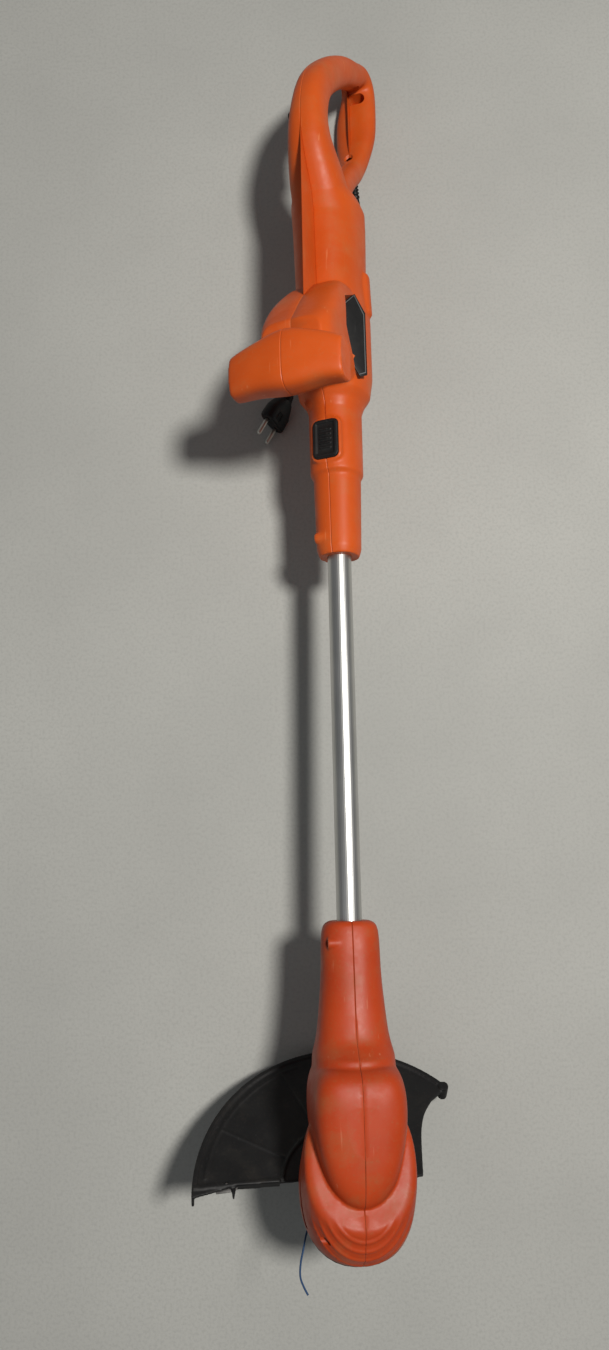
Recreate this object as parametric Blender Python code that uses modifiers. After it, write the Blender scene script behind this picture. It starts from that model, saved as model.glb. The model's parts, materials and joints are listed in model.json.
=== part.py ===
"""Corded garden string trimmer, lying on the ground as it is put down after use.

Frame: +Z up, +Y from the cutting head towards the rear handle, +X to the right.
The origin is the bottom centre of the tool, without its mains lead.

The working frames hang from the root empty:
    shaft_frame   Y along the tube, Z up
    head_frame    the same axis, turned with the cutting head
    handle_frame  the same axis, turned with the handle, Y = 0 at its lower end
    spool_frame   Z up the motor axis, Y towards the rear of the guard
"""
import math

import bmesh
import bpy
from mathutils import Vector

MM = 0.001
GAP = 0.3                       # clearance between neighbouring pieces, mm

# ---- driving dimensions, in mm and degrees --------------------------------
TUBE_RADIUS = 11.1
TUBE_PITCH = 3.0                # the tube sinks towards the handle
HEAD_ROLL = 5.0
HANDLE_ROLL = -23.0
SPOOL_TILT = 46.6               # motor axis, measured from the tube's normal
HANDLE_START = 527.0            # lower end of the handle, from the motor axis
NECK_END = 196.0                # upper end of the head's neck
TUBE_FROM, TUBE_TO = 132.0, 690.0

GUARD_RADIUS = 138.0
GUARD_LEVEL = -40.0             # upper face of the guard on the motor axis
GUARD_THICK = 2.6
GUARD_SKIRT = 14.0
GUARD_INNER = 40.6
BASE_LEVEL = -36.3
BASE_THICK = 3.2

HOUSING_RADIUS = 38.0
HOUSING_TOP, HOUSING_BOTTOM = -44.5, -77.0
SHAFT_RADIUS = 2.5
MOTOR_RADIUS = 22.0

WALL = 2.6
BOSS_RADIUS = 5.4
CORD_RADIUS = 3.5
LINE_RADIUS = 0.8
PIN_RADIUS, PIN_LENGTH, PIN_PITCH = 2.4, 19.0, 19.0

RING_POINTS = 18
LOOP_POINTS = 14

ORANGE = ((0.62, 0.10, 0.012), 0.45, 0.0)
RED_ORANGE = ((0.50, 0.055, 0.014), 0.45, 0.0)
BLACK = ((0.012, 0.012, 0.013), 0.5, 0.0)
ALUMINIUM = ((0.60, 0.60, 0.59), 0.35, 1.0)
STEEL = ((0.45, 0.45, 0.46), 0.3, 1.0)
COPPER = ((0.55, 0.22, 0.10), 0.35, 1.0)
BRASS = ((0.60, 0.42, 0.14), 0.3, 1.0)
NYLON_BLUE = ((0.03, 0.07, 0.16), 0.4, 0.0)
GREY_PLASTIC = ((0.12, 0.12, 0.12), 0.5, 0.0)


# ---- scene and object helpers ----------------------------------------------
def clear_scene():
    for obj in list(bpy.data.objects):
        bpy.data.objects.remove(obj, do_unlink=True)
    for coll in list(bpy.data.collections):
        bpy.data.collections.remove(coll)


def new_collection(name):
    coll = bpy.data.collections.new(name)
    bpy.context.scene.collection.children.link(coll)
    return coll


def finish_material(name, look):
    colour, roughness, metallic = look
    mat = bpy.data.materials.new(name)
    mat.use_nodes = True
    shader = mat.node_tree.nodes["Principled BSDF"]
    shader.inputs["Base Color"].default_value = (*colour, 1.0)
    shader.inputs["Roughness"].default_value = roughness
    shader.inputs["Metallic"].default_value = metallic
    return mat


def empty(name, parent=None, location=(0, 0, 0), rotation=(0, 0, 0)):
    obj = bpy.data.objects.new(name, None)
    PARTS.objects.link(obj)
    obj.parent = parent
    obj.location = Vector(location) * MM
    obj.rotation_euler = [math.radians(a) for a in rotation]
    return obj


def mesh_object(name, bm, parent, look, origin=(0, 0, 0), smooth=35.0):
    """A part whose mesh is given in its parent's frame, in mm, with its origin moved."""
    shift = Vector(origin)
    for vert in bm.verts:
        vert.co = (vert.co - shift) * MM
    bmesh.ops.recalc_face_normals(bm, faces=bm.faces)
    mesh = bpy.data.meshes.new(name)
    bm.to_mesh(mesh)
    bm.free()
    obj = bpy.data.objects.new(name, mesh)
    PARTS.objects.link(obj)
    obj.parent = parent
    obj.location = shift * MM
    mesh.shade_smooth()
    mesh.set_sharp_from_angle(angle=math.radians(smooth))
    mesh.materials.append(finish_material(name, look))
    return obj


def as_cutter(obj):
    for coll in list(obj.users_collection):
        coll.objects.unlink(obj)
    CUTTERS.objects.link(obj)
    obj.hide_render = True
    obj.display_type = "WIRE"
    return obj


def combine(target, tool, operation):
    mod = target.modifiers.new(f"{operation}_{tool.name}", "BOOLEAN")
    mod.operation = operation
    mod.solver = "EXACT"
    mod.object = as_cutter(tool)


def cut(target, *tools):
    for tool in tools:
        combine(target, tool, "DIFFERENCE")


def join(target, *tools):
    for tool in tools:
        combine(target, tool, "UNION")


def freeze(obj):
    """Apply the modifiers of obj to its mesh."""
    bpy.context.view_layer.update()
    graph = bpy.context.evaluated_depsgraph_get()
    mesh = bpy.data.meshes.new_from_object(obj.evaluated_get(graph))
    bm = bmesh.new()
    bm.from_mesh(mesh)
    bmesh.ops.remove_doubles(bm, verts=bm.verts, dist=0.001 * MM)
    bm.to_mesh(mesh)
    bm.free()
    obj.modifiers.clear()
    obj.data = mesh


# ---- shape helpers, all in mm ----------------------------------------------
def superellipse(half_u, up, down, power, count=RING_POINTS):
    """Points (u, v) of an oval with different heights above and below v = 0."""
    points = []
    for i in range(count):
        angle = 2 * math.pi * (i + 0.5) / count
        c, s = math.cos(angle), math.sin(angle)
        u = half_u * math.copysign(abs(c) ** (2 / power), c)
        v = (up if s > 0 else down) * math.copysign(abs(s) ** (2 / power), s)
        points.append((u, v))
    return points


def loft(rings):
    """A closed solid through rings of equal point count."""
    bm = bmesh.new()
    rows = [[bm.verts.new(p) for p in ring] for ring in rings]
    for low, high in zip(rows, rows[1:]):
        for i in range(len(low)):
            j = (i + 1) % len(low)
            bm.faces.new((low[i], low[j], high[j], high[i]))
    bm.faces.new(rows[0])
    bm.faces.new(rows[-1])
    return bm


def sections_along_y(rows, power, shrink=0.0):
    """Rings across Y from rows of (y, centre z, half width, up, down)."""
    rings = []
    for y, z, half, up, down in rows:
        oval = superellipse(half - shrink, up - shrink, down - shrink, power)
        rings.append([(u, y, z + v) for u, v in oval])
    return rings


def sections_along_z(rows, power, shrink=0.0):
    """Rings across Z from rows of (z, y from, y to, half width)."""
    rings = []
    for z, y_from, y_to, half in rows:
        middle = (y_from + y_to) / 2
        reach = (y_to - y_from) / 2 - shrink
        rings.append([(u, middle + v, z) for u, v in superellipse(half - shrink, reach, reach, power)])
    return rings


def sections_front_to_rear(rows, power):
    """Tilted rings from rows of (front y, front z, rear y, rear z, half width)."""
    rings = []
    for fy, fz, ry, rz, half in rows:
        oval = superellipse(half, 1.0, 1.0, power)
        rings.append([(u, (fy + ry) / 2 + v * (ry - fy) / 2, (fz + rz) / 2 + v * (rz - fz) / 2)
                      for u, v in oval])
    return rings


def smooth_path(points, count):
    """Catmull-Rom curve through tuples of any length, read at count points."""
    padded = [points[0]] + list(points) + [points[-1]]
    spans = len(points) - 1
    out = []
    for i in range(count):
        t = spans * i / (count - 1)
        k = min(int(t), spans - 1)
        f = t - k
        p0, p1, p2, p3 = padded[k:k + 4]
        out.append(tuple(0.5 * (2 * b + (c - a) * f + (2 * a - 5 * b + 4 * c - d) * f * f
                                + (3 * b - a - 3 * c + d) * f ** 3)
                         for a, b, c, d in zip(p0, p1, p2, p3)))
    return out


def swept_in_mid_plane(rows, count, power, shrink=0.0):
    """Rings along a path in the YZ plane, rows of (y, z, half thickness, half width, side shift)."""
    path = smooth_path(rows, count)
    rings = []
    for i, (y, z, thick, wide, side) in enumerate(path):
        before, after = path[max(i - 1, 0)], path[min(i + 1, count - 1)]
        along = Vector((0, after[0] - before[0], after[1] - before[1])).normalized()
        across = Vector((0, -along.z, along.y))
        oval = superellipse(wide - shrink, thick - shrink, thick - shrink, power, LOOP_POINTS)
        rings.append([Vector((u + side, y, z)) + across * v for u, v in oval])
    return rings


def extruded(outline, low, high, plane="XY"):
    """A flat outline (two coordinates) drawn out between two levels of the third."""
    bm = bmesh.new()
    place = {"XY": lambda p: (p[0], p[1], low), "YZ": lambda p: (low, p[0], p[1])}[plane]
    face = bm.faces.new([bm.verts.new(place(p)) for p in outline])
    grown = bmesh.ops.extrude_face_region(bm, geom=[face])["geom"]
    offset = Vector((0, 0, high - low)) if plane == "XY" else Vector((high - low, 0, 0))
    bmesh.ops.translate(bm, verts=[g for g in grown if isinstance(g, bmesh.types.BMVert)], vec=offset)
    return bm


def box(low, high):
    bm = bmesh.new()
    bmesh.ops.create_cube(bm, size=1.0)
    for vert in bm.verts:
        vert.co = Vector(((a + b) / 2 + (b - a) * c for a, b, c in zip(low, high, vert.co)))
    return bm


def arc(radius, start, end, count, centre=(0, 0)):
    """Points on an arc, degrees from +Y towards +X."""
    angles = [math.radians(start + (end - start) * i / (count - 1)) for i in range(count)]
    return [(centre[0] + radius * math.sin(a), centre[1] + radius * math.cos(a)) for a in angles]


def rounded_rectangle(width, length, radius, centre=(0, 0), steps=4):
    points = []
    for sx, sy, start in ((1, 1, 90), (1, -1, 180), (-1, -1, 270), (-1, 1, 360)):
        corner = (centre[0] + sx * (width / 2 - radius), centre[1] + sy * (length / 2 - radius))
        points += arc(radius, start - 90, start, steps, corner)
    return points


AXIS_TURN = {"X": (0, 90, 0), "Y": (-90, 0, 0), "Z": (0, 0, 0)}


def turned(name, profile, parent, look, origin=(0, 0, 0), axis="Z", steps=32, hollow=False):
    """A turned solid: profile (radius, height) runs down the outside, and back up if hollow."""
    mesh = bpy.data.meshes.new(name)
    verts = [(r * MM, 0, h * MM) for r, h in profile]
    edges = [(i, i + 1) for i in range(len(verts) - 1)]
    if hollow:
        edges.append((len(verts) - 1, 0))
    mesh.from_pydata(verts, edges, [])
    obj = bpy.data.objects.new(name, mesh)
    PARTS.objects.link(obj)
    screw = obj.modifiers.new("turn", "SCREW")
    screw.steps = steps
    screw.render_steps = steps
    screw.use_merge_vertices = True
    screw.merge_threshold = 0.00001
    freeze(obj)
    obj.parent = parent
    obj.location = Vector(origin) * MM
    obj.rotation_euler = [math.radians(a) for a in AXIS_TURN[axis]]
    obj.data.shade_smooth()
    obj.data.set_sharp_from_angle(angle=math.radians(40))
    obj.data.materials.append(finish_material(name, look))
    return obj


def rod(name, radius, low, high, parent, look, origin=(0, 0, 0), axis="Z", steps=24, bore=0.0):
    if bore:
        profile = [(radius, high), (radius, low), (bore, low), (bore, high)]
        return turned(name, profile, parent, look, origin, axis, steps, hollow=True)
    profile = [(0, high), (radius, high), (radius, low), (0, low)]
    return turned(name, profile, parent, look, origin, axis, steps)


def wire(name, points, radius, parent, look, resolution=2):
    """A round wire through points (mm), as a curve made into a closed mesh."""
    curve = bpy.data.curves.new(name, "CURVE")
    curve.dimensions = "3D"
    curve.bevel_depth = radius * MM
    curve.bevel_resolution = resolution
    curve.use_fill_caps = True
    spline = curve.splines.new("POLY")
    spline.points.add(len(points) - 1)
    for slot, point in zip(spline.points, points):
        slot.co = (*(Vector(point) * MM), 1.0)
    obj = bpy.data.objects.new(name + "_curve", curve)
    PARTS.objects.link(obj)
    bpy.context.view_layer.update()
    graph = bpy.context.evaluated_depsgraph_get()
    mesh = bpy.data.meshes.new_from_object(obj.evaluated_get(graph))
    bpy.data.objects.remove(obj)
    bm = bmesh.new()
    bm.from_mesh(mesh)
    bmesh.ops.remove_doubles(bm, verts=bm.verts, dist=0.02 * MM)
    bm.to_mesh(mesh)
    bm.free()
    mesh.shade_smooth()
    mesh.materials.append(finish_material(name, look))
    result = bpy.data.objects.new(name, mesh)
    PARTS.objects.link(result)
    result.parent = parent
    return result


def coil(radius, low, high, turns, centre, axis="Z", per_turn=8):
    """Points of a helix from low to high around an axis through centre."""
    points = []
    for i in range(int(turns * per_turn) + 1):
        angle = 2 * math.pi * i / per_turn
        height = low + (high - low) * i / (turns * per_turn)
        across = (radius * math.cos(angle), radius * math.sin(angle))
        if axis == "Z":
            points.append((centre[0] + across[0], centre[1] + across[1], height))
        else:
            points.append((height, centre[0] + across[0], centre[1] + across[1]))
    return points


def split_in_halves(whole, left_name, right_name, look):
    """Cut a hollow casing at the mid plane into its left and right shells."""
    freeze(whole)
    halves = []
    for name, low, high in ((left_name, -300, -GAP / 2), (right_name, GAP / 2, 300)):
        half = bpy.data.objects.new(name, whole.data.copy())
        PARTS.objects.link(half)
        half.parent = whole.parent
        half.data.materials.clear()
        half.data.materials.append(finish_material(name, look))
        side = mesh_object(name + "_side", box((low, -300, -300), (high, 900, 300)), whole.parent, look)
        combine(half, side, "INTERSECT")
        halves.append(half)
    bpy.data.objects.remove(whole)
    return halves


def screw_across(name, parent, y, z, head_x, tip_x):
    """A screw along X from the left, and the counterbored hole that it needs."""
    profile = [(0, tip_x), (1.5, tip_x), (1.5, head_x), (3.2, head_x), (3.2, head_x - 2.2), (0, head_x - 2.2)]
    turned(name, profile, parent, STEEL, (0, y, z), "X", 12)
    hole = turned(name + "_hole", [(0, tip_x + 1), (1.9, tip_x + 1), (1.9, head_x + GAP),
                                   (3.7, head_x + GAP), (3.7, -120), (0, -120)],
                  parent, STEEL, (0, y, z), "X", 12)
    return hole


# ---- handle -----------------------------------------------------------------
BARREL_ROWS = [                 # y, centre z, half width, up, down
    (0, 0, 18.3, 18.3, 18.3), (7, 0, 20.4, 20.4, 20.4), (76, 0, 22.0, 22.0, 22.0),
    (80, 0, 24.4, 26.0, 24.0), (142, 0, 24.6, 27.0, 24.6), (150, 0, 27.5, 30.0, 26.5),
    (158, 0, 33.5, 36.0, 30.0), (176, 0, 36.5, 41.5, 31.0), (236, 0, 36.5, 43.5, 31.0),
    (258, 0, 33.0, 43.0, 31.0), (272, 0, 31.5, 43.0, 31.0), (335, 0, 33.0, 46.0, 30.0),
    (352, 0, 33.0, 50.0, 28.0), (366, 4, 30.0, 51.0, 27.0), (384, 14, 24.0, 44.0, 20.0)]
FRONT_GRIP_ROWS = [             # z, y from, y to, half width
    (20, 158, 262, 33.0), (45, 155, 255, 33.5), (62, 150, 241, 35.5), (80, 139, 222, 40.5),
    (95, 124, 204, 46.0), (108, 117, 183, 48.5), (118, 121, 173, 46.5), (125, 129, 164, 40.0),
    (128, 138, 156, 30.0)]
LOOP_ROWS = [                   # y, z, half thickness, half width, side shift
    (345, 14, 27, 29, 0), (375, 35, 25, 26, 0), (405, 52, 21, 20.5, 0.5), (435, 54, 18.5, 17.5, 1.5),
    (470, 43, 17.5, 16, 3.5), (502, 18, 16.5, 14.5, 6.5), (531, -14, 15, 13.5, 9.5), (551, -44, 13.5, 14, 10),
    (561, -62, 11.5, 16.5, 9.5), (553, -76, 11, 18.5, 8), (524, -78.5, 11, 22, 4.5), (497, -78.5, 11, 21.5, 3),
    (472, -75, 12, 17, 1), (450, -65, 12, 13.5, 0), (428, -45, 12, 14, 0), (402, -24, 12, 15, 0),
    (375, -8, 12, 15, 0)]
LOOP_COUNT = 26

BUTTON_Y, BUTTON_WIDTH, BUTTON_LENGTH = 107.5, 25.0, 38.0
TRIGGER_PIVOT = (461.0, 44.0)
TRIGGER_HALF = 8.0
PIN_FROM, PIN_TO = -12.2, 18.2  # the trigger pin's ends, inside both walls
LOCK_OFF_AT = (432.0, 57.0)
LOCK_OFF_FACE = -12.4           # level of the button's collar, across the handle
SWITCH_SIDE = 0.5
PLUNGER_X = 5.0
PLATE_CENTRE, PLATE_LEAN = (29.5, 206.0, 30.5), 46.0
HANDLE_SCREWS = [(16.0, 15.6), (149.0, 21.0), (205.0, -23.0), (300.0, -22.0), (152.0, 110.0),
                 (489.0, 28.0), (512.0, -78.0)]


def handle_casing(frame):
    whole = mesh_object("casing", loft(sections_along_y(BARREL_ROWS, 2.3)), frame, ORANGE)
    join(whole, mesh_object("front_grip", loft(sections_along_z(FRONT_GRIP_ROWS, 3.2)), frame, ORANGE),
         mesh_object("loop", loft(swept_in_mid_plane(LOOP_ROWS, LOOP_COUNT, 2.4)), frame, ORANGE))
    cut(whole, handle_cavity(frame))
    cut(whole, rod("tube_way", TUBE_RADIUS + GAP, -5, 25, frame, ORANGE, axis="Y", steps=32))
    for cutter in (button_way(frame), trigger_way(frame), lock_off_way(frame), gland_way(gland_frame),
                   plate_way(frame), restraint_way(frame), screw_bores(frame)):
        cut(whole, cutter)
    return split_in_halves(whole, "handle_shell_left", "handle_shell_right", ORANGE)


def handle_cavity(frame):
    inner_rows = [row for row in BARREL_ROWS if 70 < row[0] < 380]
    inner_rows = [(22, 0, 17.5 + WALL, 17.5 + WALL, 17.5 + WALL)] + inner_rows
    cavity = mesh_object("cavity", loft(sections_along_y(inner_rows, 2.3, WALL)), frame, ORANGE)
    grip_rows = [(z, a, b, h) for z, a, b, h in FRONT_GRIP_ROWS if z < 126]
    grip = mesh_object("grip_cavity", loft(sections_along_z(grip_rows, 3.2, WALL)), frame, ORANGE)
    loop = mesh_object("loop_cavity", loft(swept_in_mid_plane(LOOP_ROWS[:9], 13, 2.4, WALL)), frame, ORANGE)
    leg = mesh_object("leg_cavity", loft(swept_in_mid_plane(LOOP_ROWS[10:], 10, 2.4, WALL)), frame, ORANGE)
    join(cavity, grip, loop, leg)
    for index, (y, z) in enumerate(HANDLE_SCREWS):
        cut(cavity, rod(f"boss_{index}", BOSS_RADIUS, -60, 60, frame, ORANGE, (0, y, z), "X", 12))
    freeze(cavity)
    return cavity


def screw_bores(frame):
    bores = None
    for index, (y, z) in enumerate(HANDLE_SCREWS):
        hole = screw_across(f"handle_screw_{index + 1}", frame, y, z, -7.0, 9.0)
        if bores is None:
            bores = hole
        else:
            join(bores, hole)
    freeze(bores)
    return bores


def button_outline(grow):
    return rounded_rectangle(BUTTON_WIDTH + 2 * grow, BUTTON_LENGTH + 2 * grow, 5 + grow, (0, BUTTON_Y))


def button_way(frame):
    return mesh_object("button_way", extruded(button_outline(GAP), 15, 45), frame, ORANGE)


def release_button(frame):
    origin = (0, BUTTON_Y, 22)
    button = mesh_object("release_button", extruded(button_outline(0), 17.5, 29.0), frame, BLACK, origin)
    raised = rounded_rectangle(14, 26, 6, (0, BUTTON_Y))
    well = rod("button_well", 5.0, 10, 26.5, frame, BLACK, (0, BUTTON_Y, 0))
    join(button, mesh_object("button_pad", extruded(raised, 27, 31.0), frame, BLACK))
    cut(button, well)
    collar = rod("lock_collar", 12.8, 84, 131, frame, GREY_PLASTIC, axis="Y", bore=TUBE_RADIUS + GAP)
    wire("release_spring", coil(3.2, 13.8, 25.8, 4, (0, BUTTON_Y)), 0.5, frame, STEEL)
    return button, collar


def trigger_outline():
    y, z = TRIGGER_PIVOT
    return [(y + 4, z + 3), (y - 4, z + 4), (y - 40, z - 1), (y - 43, z - 6), (y - 40, z - 15),
            (y - 33, z - 19), (y - 22, z - 16.5), (y - 10, z - 16), (y - 1, z - 17), (y + 4, z - 14)]


def trigger_way(frame):
    y, z = TRIGGER_PIVOT
    low, high = (-TRIGGER_HALF - GAP, y - 44.5, z - 25), (TRIGGER_HALF + GAP, y + 6, z + 8)
    way = mesh_object("trigger_way", box(low, high), frame, ORANGE)
    join(way, rod("pin_way", 1.5 + GAP, PIN_FROM - GAP, PIN_TO + GAP, frame, STEEL, (0, y, z), "X", 16))
    freeze(way)
    return way


def trigger_group(frame):
    y, z = TRIGGER_PIVOT
    trigger = mesh_object("trigger", extruded(trigger_outline(), -TRIGGER_HALF, TRIGGER_HALF, "YZ"),
                          frame, BLACK, (0, y, z))
    cut(trigger, rod("trigger_bore", 1.5 + GAP, -20, 20, frame, STEEL, (0, y, z), "X", 16))
    rod("trigger_pin", 1.5, PIN_FROM, PIN_TO, frame, STEEL, (0, y, z), "X", 16)
    switch = mesh_object("switch_body", box((SWITCH_SIDE, y - 38, z + 9.3), (10.0, y - 3, z + 17.0)), frame, GREY_PLASTIC)
    cut(switch, rod("plunger_way", 2.3, z + 5, z + 16, frame, STEEL, (PLUNGER_X, y - 15, 0), steps=16))
    plunger = [(0, 12.5), (2, 12.5), (2, 3.1), (0, 3.1)]
    turned("switch_plunger", plunger, frame, STEEL, (PLUNGER_X, y - 15, z), steps=16)
    wire("trigger_spring", coil(2.2, z + 1.6, z + 8.6, 3, (PLUNGER_X, y - 27)), 0.35, frame, STEEL)


def lock_off_way(frame):
    y, z = LOCK_OFF_AT
    return rod("lock_off_way", 5.3, -30, -12, frame, ORANGE, (0, y, z), "X")


def lock_off_group(frame):
    y, z = LOCK_OFF_AT
    profile = [(0, 7.5), (3.2, 7.5), (3.2, 3), (6.0, 3), (6.0, 1.2), (5.0, 1.2), (5.0, -4.5), (4.2, -5.5), (0, -5.5)]
    turned("lock_off_button", profile, frame, BLACK, (LOCK_OFF_FACE, y, z), "X", 24)
    wire("lock_off_spring", coil(4.4, LOCK_OFF_FACE + 3.7, SWITCH_SIDE - 0.8, 4, (y, z), "X"), 0.4, frame, STEEL)


def plate_outline(grow):
    half, long_half, tip = 15.5 + grow, 42.0 + grow, 18.0
    return [(half, long_half - tip), (0.3 * half, long_half), (-half, long_half - tip),
            (-half, -long_half + 2 * tip), (0.5 * half, -long_half), (half, -long_half + 3)]


def plate_way(frame):
    holder = empty("plate_frame", frame, PLATE_CENTRE, (0, PLATE_LEAN, 0))
    way = mesh_object("plate_way", extruded(plate_outline(GAP), -1.6, 15), holder, ORANGE)
    mesh_object("name_plate", extruded(plate_outline(0), -1.3, 0.2), holder, BLACK)
    return way


def restraint_way(frame):
    """The slot in the loop's rear inner face that a bight of extension lead hooks into."""
    slot = rounded_rectangle(20, 12, 5.9, (8, 541))
    return mesh_object("restraint_way", extruded(slot, -81, -44), frame, ORANGE)


GLAND_AT = (453.0, -68.0)
GLAND_PITCH = 30.0
GLAND_LENGTH = 26.0


def gland_way(holder):
    way = rod("gland_way", 5.0, -20, 40, holder, ORANGE)
    profile = [(0, GLAND_LENGTH), (CORD_RADIUS + 0.9, GLAND_LENGTH), (4.7, 4), (4.7, -8), (0, -8)]
    turned("cord_gland", profile, holder, BLACK, steps=24)
    return way


def handle_wiring(frame):
    lead = smooth_path([(0, 176, 6), (0, 240, 12), (0, 330, 12), (0, 375, 28), (2, 398, 45), (5, 421.5, 57.0)], 18)
    wire("switch_lead", lead, 2.2, frame, BLACK)


# ---- shaft and head ---------------------------------------------------------
NECK_ROWS = [                   # y, centre z, half width, up, down
    (NECK_END, 0, 17.5, 15.5, 17.0), (187, 0, 24.8, 20.5, 22.0), (150, 0, 26.2, 23.0, 24.0),
    (110, 0, 30.0, 27.5, 27.0), (85, 0, 33.0, 32.0, 31.0), (60, 0, 35.5, 37.0, 36.0),
    (30, 0, 37.0, 42.0, 42.0), (5, 0, 37.0, 38.0, 42.0)]
HOOD_ROWS = [                   # z, y from, y to, half width
    (-6.3, -43, 75, 36.4), (25, -33, 84, 37.6), (42, -27, 85, 35.0), (51, -18, 81, 29.5),
    (56, -6, 73, 21.0), (58.5, 10, 58, 11.0)]
CASE_ROWS = [                   # front y, front z, rear y, rear z, half width
    (-72.2, 24.0, 8.2, -61.0, 46.5), (-70.5, 30.0, 17.0, -52.0, 47.5), (-61.0, 42.0, 34.0, -28.0, 47.5),
    (-44.0, 49.5, 56.0, 6.0, 46.0), (-38.0, 50.5, 60.0, 12.0, 40.0)]
HEAD_SCREWS = [(178.0, 15.2), (118.0, -19.0), (-48.0, 38.0)]


def head_casing(frame):
    whole = mesh_object("head", loft(sections_along_y(NECK_ROWS, 2.4)), frame, RED_ORANGE)
    join(whole, mesh_object("hood", loft(sections_along_z(HOOD_ROWS, 2.8)), frame, RED_ORANGE),
         mesh_object("case", loft(sections_front_to_rear(CASE_ROWS, 2.3)), frame, RED_ORANGE))
    cut(whole, head_cavity(frame))
    cut(whole, rod("socket", TUBE_RADIUS + GAP, 120, 220, frame, RED_ORANGE, axis="Y", steps=32))
    cut(whole, below_base(frame))
    bores = None
    for index, (y, z) in enumerate(HEAD_SCREWS):
        hole = screw_across(f"head_screw_{index + 1}", frame, y, z, -7.0, 9.0)
        if bores is None:
            bores = hole
        else:
            join(bores, hole)
    freeze(bores)
    cut(whole, bores)
    return split_in_halves(whole, "head_shell_left", "head_shell_right", RED_ORANGE)


def below_base(frame):
    holder = empty("base_cut_frame", frame, (0, 0, 0), (-SPOOL_TILT, 0, 0))
    return mesh_object("below_base", box((-120, -160, -120), (120, 160, BASE_LEVEL + GAP)), holder, RED_ORANGE)


def head_cavity(frame):
    neck_rows = [row for row in NECK_ROWS if 10 < row[0] < 120]
    neck_rows = [(128, 0, 27.5, 24.0, 25.0)] + neck_rows + [(5, 0, 34.0, 38.0, 42.0)]
    cavity = mesh_object("head_cavity", loft(sections_along_y(neck_rows, 2.4, WALL)), frame, RED_ORANGE)
    hood_rows = [(z - WALL if z > 0 else -12.4, a, b, h) for z, a, b, h in HOOD_ROWS]
    hood = mesh_object("hood_cavity", loft(sections_along_z(hood_rows, 2.8, WALL)), frame, RED_ORANGE)
    inside = [(fy + WALL, fz, ry - WALL, rz, half - WALL) for fy, fz, ry, rz, half in CASE_ROWS[:3]]
    lower = (-74.0, 10.0, -6.0, -63.0, 42.0)
    case = mesh_object("case_cavity", loft(sections_front_to_rear([lower] + inside, 2.3)), frame, RED_ORANGE)
    join(cavity, hood, case)
    for index, (y, z) in enumerate(HEAD_SCREWS):
        cut(cavity, rod(f"head_boss_{index}", BOSS_RADIUS, -60, 60, frame, RED_ORANGE, (0, y, z), "X", 12))
    freeze(cavity)
    return cavity


def shaft_group(frame):
    rod("shaft_tube", TUBE_RADIUS, TUBE_FROM, TUBE_TO, frame, ALUMINIUM, axis="Y", steps=40, bore=TUBE_RADIUS - 1.2)
    lead = smooth_path([(0, 58, 14), (0, 85, 8), (0, 130, 0)], 12) + [(0, 700, 0)]
    wire("shaft_lead", lead, 3.0, frame, BLACK)


def base_and_guard(frame):
    level = BASE_LEVEL
    oval = [(u, v - 9.0) for u, v in superellipse(45.5, 57.5, 57.5, 2.3, 36)]
    base = mesh_object("head_base", extruded(oval, level - BASE_THICK, level), frame, BLACK)
    cut(base, rod("bearing_seat", 8.3, -60, 0, frame, BLACK))
    profile = [(8.0, level), (8.0, level - BASE_THICK), (SHAFT_RADIUS + GAP, level - BASE_THICK),
               (SHAFT_RADIUS + GAP, level)]
    turned("lower_bearing", profile, frame, STEEL, hollow=True, steps=24)

    top = GUARD_LEVEL
    outline = arc(GUARD_RADIUS, -91.0, 45.0, 30)
    outline += [(97, 90), (84, 80), (75.5, 68), (70.0, 53), (67.0, 36), (63.5, 8)]
    outline += arc(GUARD_INNER, 84.0, -78.0, 20)
    outline += [(-100, 6.5)]
    guard = mesh_object("guard", extruded(outline, top - GUARD_THICK, top), frame, BLACK)
    skirt_line = arc(GUARD_RADIUS, -91.0, 45.0, 30) + arc(GUARD_RADIUS - 2.4, 45.0, -91.0, 30)
    skirt = mesh_object("skirt", extruded(skirt_line, top - GUARD_SKIRT, top - 0.8), frame, BLACK)
    knob = rod("guard_knob", 4.6, top - GUARD_SKIRT, top + 1.5, frame, BLACK, (98, 94, 0), steps=16)
    join(guard, skirt, knob)
    freeze(guard)
    blade = [(-117, 2), (-101, 3.5), (-98, 7), (-98, 14), (-118, 14)]
    cutter = mesh_object("line_cutter", extruded(blade, top - GUARD_THICK - 1.5, top - GUARD_THICK - GAP),
                         frame, STEEL)
    spots = {"guard_screw_1": (-30.5, 31.5), "guard_screw_2": (30.5, 31.5), "cutter_screw": (-108, 9)}
    for name, (s, r) in spots.items():
        reach = top + 3.2 if name.startswith("guard") else top - 0.6
        seat = top - GUARD_THICK - (GAP if name.startswith("guard") else 1.5 + GAP)
        screw = [(0, reach), (1.3, reach), (1.3, seat), (2.6, seat), (2.6, seat - 1.4), (0, seat - 1.4)]
        turned(name, screw, frame, STEEL, (s, r, 0), steps=16)
        hole = rod(name + "_bore", 1.3 + GAP, seat - 6, reach + 0.4, frame, STEEL, (s, r, 0), steps=16)
        targets = (guard, base) if name.startswith("guard") else (guard, cutter)
        for target in targets:
            copy = bpy.data.objects.new(hole.name + "_" + target.name, hole.data)
            PARTS.objects.link(copy)
            copy.parent, copy.location = hole.parent, hole.location
            cut(target, copy)
        bpy.data.objects.remove(hole)


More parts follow.
